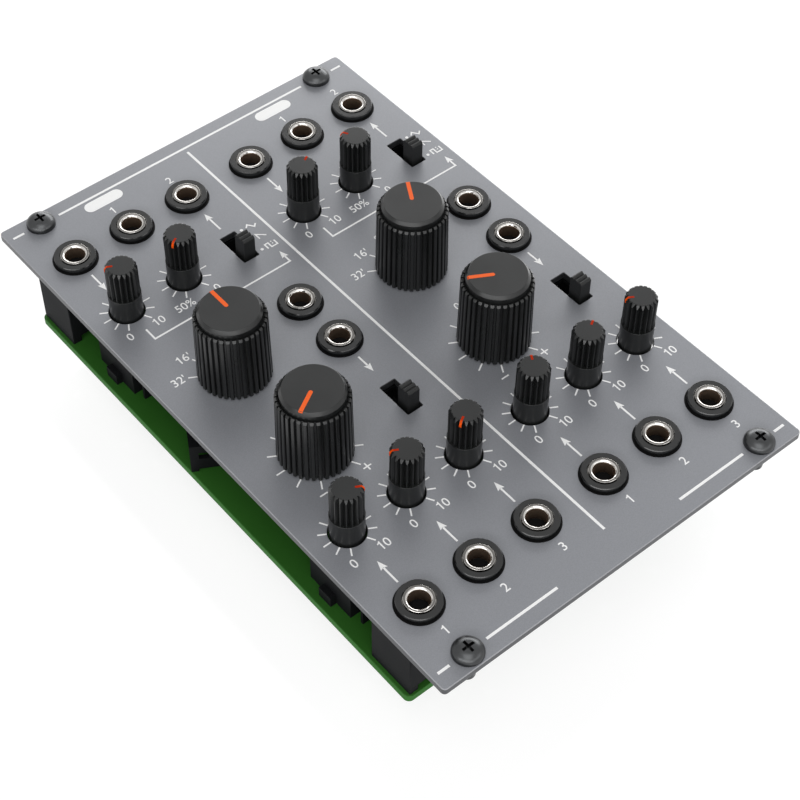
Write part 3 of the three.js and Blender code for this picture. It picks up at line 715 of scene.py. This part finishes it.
COLLAR_RADIUS, COLLAR_TOP = 3.06, 5.0
FLUTES, FLUTE_TIP, FLUTE_ROOT = 18, 2.95, 2.3
GRIP_TOP, GRIP_FACE, GRIP_SLOPE = 11.8, 2.5, 1.33
RED_START, RED_HALF_WIDTH, RED_FOOT = 1.4, 0.2, 10.7
RED_SHADED_TO, RED_UNSHADED_FROM = 2.2, 2.7
POT_HEIGHT, SHAFT_GAP = 7.5, 0.3
SMALL_SHAFT_FOOT = BOARD_FRONT + POT_HEIGHT + SHAFT_GAP - PANEL_FRONT
STUB_RADIUS, STUB_LENGTH = 1.75, 4.0
KNOB_DEEP, KNOB_LIGHT = (20, 21, 21), (27, 28, 28)

knob_plastic = moulded("knob_plastic", KNOB_DEEP, KNOB_LIGHT, 0.23, 0.002, 0.38)
red_mark = Finish("red_mark", {"Specular IOR Level": 0.04})
chalk = red_mark.noise(3000.0, 2.0)
out_of_painted_shade = red_mark.range(red_mark.length_from_axis(), RED_SHADED_TO * MM, RED_UNSHADED_FROM * MM)
# On the knob's top, near the axis, the line is painted a darker red, painted shade of its recess; over the
# rim it turns a brighter orange red.
red_mark.vary(
    Base_Color=red_mark.blend(out_of_painted_shade, red_mark.blend(chalk, (162, 34, 1), (180, 44, 4)), (234, 84, 14)),
    Roughness=0.4 + 0.2 * chalk,
)


def round_about(mesh, template, count, place_of):
    """One ring of corners that repeats a template of angles and shares, turned by place_of."""
    corners = []
    for repeat in range(count):
        for offset, share in template:
            angle = math.radians(90 + 360 / count * repeat + offset)
            radius, height = place_of(share)
            corners.append(mesh.verts.new((radius * math.cos(angle), radius * math.sin(angle), height)))
    return corners


def fluted_grip(mesh):
    """Adds the grip. A share of 1 is the tip of a rib between two flutes, and 0 a flute's floor."""
    template = [(-1.3, 1.0), (1.3, 1.0), (5.6, 0.5), (10.0, 0.0), (14.4, 0.5)]
    radius = lambda share: FLUTE_ROOT + (FLUTE_TIP - FLUTE_ROOT) * share
    rim = lambda share: min(radius(share), GRIP_FACE)
    levels = [
        lambda share: (radius(share), COLLAR_TOP - 0.3),
        lambda share: (radius(share), GRIP_TOP - 0.03 - GRIP_SLOPE * (radius(share) - rim(share))),
        lambda share: (rim(share) - 0.01, GRIP_TOP - 0.01),
        lambda share: (rim(share) - 0.05, GRIP_TOP),
    ]
    rings = [round_about(mesh, template, FLUTES, level) for level in levels]
    for lower, upper in zip(rings, rings[1:]):
        skin(mesh, lower, upper)
    mesh.faces.new(rings[-1])


def strip(mesh, profile, half_width, proud, sunk):
    """Adds a thin strip that follows a profile of radii and heights outwards from the axis."""
    points = [Vector(p) for p in profile]
    layers = []
    for i, point in enumerate(points):
        way = (points[min(i + 1, len(points) - 1)] - points[max(i - 1, 0)]).normalized()
        out = Vector((-way.y, way.x))
        for rise in (proud, -sunk):
            radius, height = point + out * rise
            layers.append([mesh.verts.new((x, radius, height)) for x in (-half_width, half_width)])
    sections = [[*layers[2 * i], *reversed(layers[2 * i + 1])] for i in range(len(points))]
    for before, after in zip(sections, sections[1:]):
        skin(mesh, before, after)
    mesh.faces.new(sections[0])
    mesh.faces.new(sections[-1])


small_knob = bmesh.new()
turned(small_knob, [
    (0, SMALL_SHAFT_FOOT - STUB_LENGTH), (STUB_RADIUS - 0.2, SMALL_SHAFT_FOOT - STUB_LENGTH),
    (STUB_RADIUS, SMALL_SHAFT_FOOT - STUB_LENGTH + 0.2), (STUB_RADIUS, SMALL_SHAFT_FOOT),
    (COLLAR_RADIUS - 0.15, SMALL_SHAFT_FOOT), (COLLAR_RADIUS, SMALL_SHAFT_FOOT + 0.15),
    (COLLAR_RADIUS, COLLAR_TOP - 0.03), (COLLAR_RADIUS - 0.03, COLLAR_TOP), (0, COLLAR_TOP),
], 48)
fluted_grip(small_knob)

small_mark = bmesh.new()
strip(small_mark, [(RED_START, GRIP_TOP), (GRIP_FACE - 0.02, GRIP_TOP),
                   (FLUTE_TIP, GRIP_TOP - GRIP_SLOPE * (FLUTE_TIP - GRIP_FACE)), (FLUTE_TIP, RED_FOOT)],
      RED_HALF_WIDTH, 0.015, 0.1)

SMALL_KNOBS = {
    "left_upper_knob_1": -60, "left_upper_knob_2": -120,
    "right_upper_knob_1": 60, "right_upper_knob_2": -30,
    "left_lower_knob_1": 120, "left_lower_knob_2": -60, "left_lower_knob_3": -120,
    "right_lower_knob_1": 30, "right_lower_knob_2": 60, "right_lower_knob_3": -60,
}
grip_data = mark_data = None
for name, turn in SMALL_KNOBS.items():
    side, row, _, number = name.split("_")
    spot = (CHANNEL_X[side] + (int(number) - 2) * COLUMN, ROW[row], PANEL_FRONT)
    if grip_data is None:
        knob = piece(small_knob, f"{name}_grip", knob_plastic, name, spot, -turn)
        mark = piece(small_mark, f"{name}_mark", red_mark, name, spot, -turn)
        grip_data, mark_data = knob.data, mark.data
    else:
        knob = copy_of(grip_data, f"{name}_grip", name, spot, -turn)
        copy_of(mark_data, f"{name}_mark", name, spot, -turn)
    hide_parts(name)


# Large knobs. Black mouldings pushed on their shafts: a skirt of rounded ribs that narrows upwards,
# a plain crown above it with a bevelled rim, and an orange pointer printed on the top.

RIBS, RIB_FOOT, RIB_ROOT = 36, 6.73, 6.17
SKIRT_FOOT, SKIRT_TOP, SKIRT_TAPER = 0.3, 15.1, 0.966
RIB_TOP_RADIUS, CHAMFER_SLOPE = 6.18, 1.25
CROWN_RADIUS, CROWN_TOP = 5.7, 16.0
FACE_RADIUS, FACE_TOP = 5.22, 16.6
LARGE_SHAFT_RADIUS = 3.0
RANGE_SWITCH_HEIGHT = 11.5
POINTER_HALF, POINTER_START, POINTER_REACH = 0.37, 0.55, 0.22
POINTER_PROUD, POINTER_SUNK = 0.02, 0.06

large_plastic = moulded("large_knob_plastic", KNOB_DEEP, KNOB_LIGHT, 0.23, 0.002, 0.38)
orange = Finish("orange_pointer", {"Specular IOR Level": 0.2})
powder = orange.noise(2600.0, 2.0)
orange.vary(Base_Color=orange.blend(powder, (232, 90, 22), (242, 100, 30)), Roughness=0.42 + 0.2 * powder)


def ribbed_skirt(mesh):
    """Adds the skirt and crown. A share of 1 is the crest of a rib, and 0 the floor between two."""
    template = [(-3.3, 0.0), (-3.0, 0.74), (-2.3, 0.97), (0.0, 1.0), (2.3, 0.97), (3.0, 0.74), (3.3, 0.0),
                (5.0, 0.0)]
    foot = lambda share: RIB_ROOT + (RIB_FOOT - RIB_ROOT) * share
    head = lambda share: foot(share) * SKIRT_TAPER
    chamfer = lambda share: max(head(share) - RIB_TOP_RADIUS, 0)
    levels = [
        lambda share: (foot(share) - 0.1, SKIRT_FOOT),
        lambda share: (foot(share), SKIRT_FOOT + 0.12),
        lambda share: (head(share), SKIRT_TOP - 0.02 - CHAMFER_SLOPE * chamfer(share)),
        lambda share: (min(head(share) - 0.02, RIB_TOP_RADIUS), SKIRT_TOP - (0 if share > 0.5 else 0.25)),
        lambda share: (CROWN_RADIUS + 0.14, SKIRT_TOP - 0.12),
        lambda share: (CROWN_RADIUS + 0.02, SKIRT_TOP - 0.3),
        lambda share: (CROWN_RADIUS, CROWN_TOP - 0.04),
        lambda share: (CROWN_RADIUS - 0.03, CROWN_TOP + 0.01),
        lambda share: (FACE_RADIUS + 0.03, FACE_TOP - 0.02),
        lambda share: (FACE_RADIUS - 0.02, FACE_TOP),
    ]
    rings = [round_about(mesh, template, RIBS, level) for level in levels]
    for lower, upper in zip(rings, rings[1:]):
        skin(mesh, lower, upper)
    mesh.faces.new(rings[-1])
    mesh.faces.new(list(reversed(rings[0])))


def large_knob(shaft_foot):
    mesh = bmesh.new()
    ribbed_skirt(mesh)
    turned(mesh, [
        (0, shaft_foot - STUB_LENGTH), (STUB_RADIUS, shaft_foot - STUB_LENGTH), (STUB_RADIUS, shaft_foot),
        (LARGE_SHAFT_RADIUS - 0.15, shaft_foot), (LARGE_SHAFT_RADIUS, shaft_foot + 0.15),
        (LARGE_SHAFT_RADIUS, SKIRT_FOOT + 0.1), (0, SKIRT_FOOT + 0.1),
    ], 32)
    return mesh


def pointer():
    """The printed pointer: a round end near the middle, and a tip that turns down over the rim."""
    mesh = bmesh.new()
    middle = POINTER_START + POINTER_HALF
    angles = [math.radians(degrees) for degrees in range(180, 361, 20)]
    bend = [(POINTER_HALF * math.cos(angle), middle + POINTER_HALF * math.sin(angle)) for angle in angles]
    rim = FACE_RADIUS - 0.03
    tip, tip_height = rim + POINTER_REACH, FACE_TOP - 0.2
    outline = [(x, y, FACE_TOP) for x, y in bend] + [(POINTER_HALF, rim, FACE_TOP)]
    outline += [(POINTER_HALF, tip, tip_height), (-POINTER_HALF, tip, tip_height)]
    outline += [(-POINTER_HALF, rim, FACE_TOP)]
    high = [mesh.verts.new((x, y, z + POINTER_PROUD)) for x, y, z in outline]
    low = [mesh.verts.new((x, y, z - POINTER_SUNK)) for x, y, z in outline]
    skin(mesh, low, high)
    count = len(bend)
    for layer in (high, low):
        mesh.faces.new([*layer[:count + 1], layer[count + 3]])
        mesh.faces.new([layer[count], layer[count + 1], layer[count + 2], layer[count + 3]])
    return mesh


LARGE_KNOBS = {"left_range_knob": 0, "right_range_knob": 30, "left_pitch_knob": -120, "right_pitch_knob": -60}
SHAFT_FOOT = {"range": BOARD_FRONT + RANGE_SWITCH_HEIGHT + SHAFT_GAP - PANEL_FRONT,
              "pitch": SMALL_SHAFT_FOOT}
for name, turn in LARGE_KNOBS.items():
    side, row, _ = name.split("_")
    spot = (CHANNEL_X[side] - COLUMN / 2, ROW[row], PANEL_FRONT)
    moulding = large_knob(SHAFT_FOOT[row])
    knob = piece(moulding, f"{name}_body", large_plastic, name, spot, -turn)
    piece(pointer(), f"{name}_pointer", orange, name, spot, -turn)
    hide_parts(name)


# Slide switch levers. Black moulded blocks that stand out of the panel's slots, with three ridges
# across the top for the finger. Each runs in its switch on the board.

LEVER_HALF_WIDTH, LEVER_HALF_LENGTH = 1.225, 1.425
LEVER_TOP, LEVER_FOOT, LEVER_REST = 4.6, -4.5, -2.0
RIDGE_HEIGHT, RIDGE_PITCH, RIDGE_HALF_TOP = 0.36, 0.95, 0.1

lever_plastic = moulded("lever_plastic", (20, 21, 21), (28, 29, 29), 0.34, 0.004, 0.28)


def lever():
    mesh = bmesh.new()
    half, low = LEVER_HALF_LENGTH, LEVER_TOP - RIDGE_HEIGHT
    side = [(-half, LEVER_FOOT), (half, LEVER_FOOT), (half, low)]
    for crest in (RIDGE_PITCH, 0.0, -RIDGE_PITCH):
        side += [(crest + RIDGE_HALF_TOP, LEVER_TOP), (crest - RIDGE_HALF_TOP, LEVER_TOP)]
        side += [(crest - RIDGE_PITCH / 2, low)]
    left = [mesh.verts.new((-LEVER_HALF_WIDTH, y, z)) for y, z in side]
    right = [mesh.verts.new((LEVER_HALF_WIDTH, y, z)) for y, z in side]
    skin(mesh, left, right)
    mesh.faces.new(left)
    mesh.faces.new(list(reversed(right)))
    soften(mesh, 0.025, 1)
    return mesh


for side, centre in CHANNEL_X.items():
    for kind, row in (("waveform", "upper"), ("sync", "pitch")):
        name = f"{side}_{kind}_lever"
        spot = (centre + COLUMN, ROW[row] + LEVER_REST, PANEL_FRONT)
        grip = piece(lever(), f"{name}_grip", lever_plastic, name, spot)
        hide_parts(name)


# Rack screws. Black plated steel with a domed head and a cross recess, one at each corner of the
# panel, standing in its hole as if driven home.

SCREW_RADIUS, SCREW_LENGTH = 1.5, 6.0
HEAD_RADIUS, HEAD_RIM, HEAD_TOP = 2.75, 0.5, 1.85
HEAD_FLAT, HEAD_SQUARENESS = 0.9, 1.15
CROSS_HALF, CROSS_HALF_WIDTH, CROSS_DEPTH, CROSS_TAPER = 1.3, 0.29, 0.95, 0.72

black_steel = Finish("black_steel", {"Metallic": 1.0})
rub = black_steel.noise(600.0, 4.0)
black_steel.vary(
    Base_Color=black_steel.blend(rub, (64, 65, 66), (76, 77, 78)),
    Roughness=0.27 + 0.1 * rub,
    Normal=black_steel.relief(rub, 0.004, 0.2),
)


def screw():
    profile = [(0, -SCREW_LENGTH), (SCREW_RADIUS - 0.3, -SCREW_LENGTH), (SCREW_RADIUS, 0.3 - SCREW_LENGTH)]
    profile += [(SCREW_RADIUS, 0), (HEAD_RADIUS - 0.08, 0), (HEAD_RADIUS, 0.08), (HEAD_RADIUS, HEAD_RIM)]
    for step in range(1, 13):
        angle = math.radians(7.5 * step)
        radius = HEAD_FLAT + (HEAD_RADIUS - HEAD_FLAT) * math.cos(angle) ** HEAD_SQUARENESS
        profile.append((radius, HEAD_RIM + (HEAD_TOP - HEAD_RIM) * math.sin(angle) ** HEAD_SQUARENESS))
    profile.append((0, HEAD_TOP + 0.03))
    mesh = bmesh.new()
    turned(mesh, profile, 48)
    return mesh


def cross():
    """The form of the recess, which narrows downwards."""
    mesh = bmesh.new()
    outline = plus(CROSS_HALF, CROSS_HALF_WIDTH)
    high = [mesh.verts.new((x, y, HEAD_TOP + 0.5)) for x, y in outline]
    low = [mesh.verts.new((x * CROSS_TAPER, y * CROSS_TAPER, HEAD_TOP - CROSS_DEPTH)) for x, y in outline]
    skin(mesh, low, high)
    mesh.faces.new(high)
    mesh.faces.new(list(reversed(low)))
    return mesh


def cut(body, tool):
    """Cuts one mesh out of another and returns what is left."""
    things = []
    for mesh in (body, tool):
        bmesh.ops.recalc_face_normals(mesh, faces=mesh.faces)
        data = bpy.data.meshes.new("draft")
        mesh.to_mesh(data)
        mesh.free()
        thing = bpy.data.objects.new("draft", data)
        bpy.context.scene.collection.objects.link(thing)
        things.append(thing)
    cutter = things[0].modifiers.new("cut", "BOOLEAN")
    cutter.operation, cutter.object, cutter.solver = "DIFFERENCE", things[1], "EXACT"
    bpy.context.view_layer.update()
    shaped = bpy.data.meshes.new_from_object(things[0].evaluated_get(bpy.context.evaluated_depsgraph_get()))
    left = bmesh.new()
    left.from_mesh(shaped)
    for thing in things:
        bpy.data.objects.remove(thing)
    return left


screw_data = None
for name, (x, y) in SCREW_SPOTS.items():
    spot = (x, y, PANEL_FRONT)
    if screw_data is None:
        steel = cut(screw(), cross())
        head = piece(steel, f"{name}_screw_steel", black_steel, "module", spot, sharp=35)
        screw_data = head.data
    else:
        head = copy_of(screw_data, f"{name}_screw_steel", "module", spot)
    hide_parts(f"{name}_screw")


# Table, lights and camera. The module lies on a plain white table under broad soft lamps, seen from
# its lower left corner through a long lens. Lamps and camera are placed in metres.

TABLE_HALF, TABLE_DROP, TABLE_GLOW = 1500, 0.1, 0.79
ROOM_LIGHT = 0.23
LAMPS_AIM = (0, 0, 0.02)
CAMERA_WAY = (0.41139, 0.50055, -0.76171)

table_white = Finish("table_white", {"Roughness": 0.1, "Specular IOR Level": 0.5})
grain = table_white.noise(30.0, 2.0)
table_white.vary(Base_Color=table_white.blend(grain, (146, 146, 146), (150, 150, 150)))
glow = table_white.node("ShaderNodeEmission", {}, {"Strength": TABLE_GLOW * table_white.seen()})
diffuse = Value(table_white, table_white.shader.outputs[0])
table_white.feed(table_white.tree.nodes["Material Output"],
                 {"Surface": table_white.node("ShaderNodeAddShader", {}, {0: diffuse, 1: glow})})

table = bmesh.new()
bmesh.ops.create_grid(table, x_segments=1, y_segments=1, size=TABLE_HALF)
table_data = bpy.data.meshes.new("table")
table.to_mesh(table_data)
table.free()
table_data.transform(Matrix.Scale(MM, 4))
table_data.materials.append(table_white.material)
table_top = bpy.data.objects.new("table", table_data)
bpy.context.scene.collection.objects.link(table_top)
table_top.location.z = -TABLE_DROP * MM

world = bpy.data.worlds.new("studio")
bpy.context.scene.world = world
world.use_nodes = True
studio = Nodes(world.node_tree)
brightness = ROOM_LIGHT + (1 - ROOM_LIGHT) * studio.seen()
studio.feed(studio.tree.nodes["Background"], {"Color": (1, 1, 1, 1), "Strength": brightness})


def lamp(name, spot, width, height, power):
    data = bpy.data.lights.new(name, "AREA")
    data.shape, data.size, data.size_y, data.energy = "RECTANGLE", width, height, power
    thing = bpy.data.objects.new(name, data)
    bpy.context.scene.collection.objects.link(thing)
    thing.location = spot
    thing.rotation_euler = (Vector(LAMPS_AIM) - Vector(spot)).to_track_quat("-Z", "Y").to_euler()


lamp("back_lamp", (0.57, 0.47, 0.31), 0.9, 0.34, 5.4)
lamp("top_lamp", (-0.25, -0.3, 0.8), 0.6, 0.6, 2.5)
lamp("front_lamp", (-0.65, -0.46, 0.43), 1.4, 0.2, 4.0)
lamp("side_lamp", (0.26, -0.74, 0.43), 0.9, 0.2, 1.1)

view = bpy.data.cameras.new("camera")
view.lens, view.sensor_width = 85, 36
view.shift_x, view.shift_y = 0.02507, -0.02354
camera = bpy.data.objects.new("camera", view)
bpy.context.scene.collection.objects.link(camera)
camera.location = (-0.14477, -0.17553, 0.27895)
camera.rotation_euler = Vector(CAMERA_WAY).to_track_quat("-Z", "Y").to_euler()
bpy.context.scene.camera = camera
bpy.context.scene.view_settings.view_transform = "Standard"
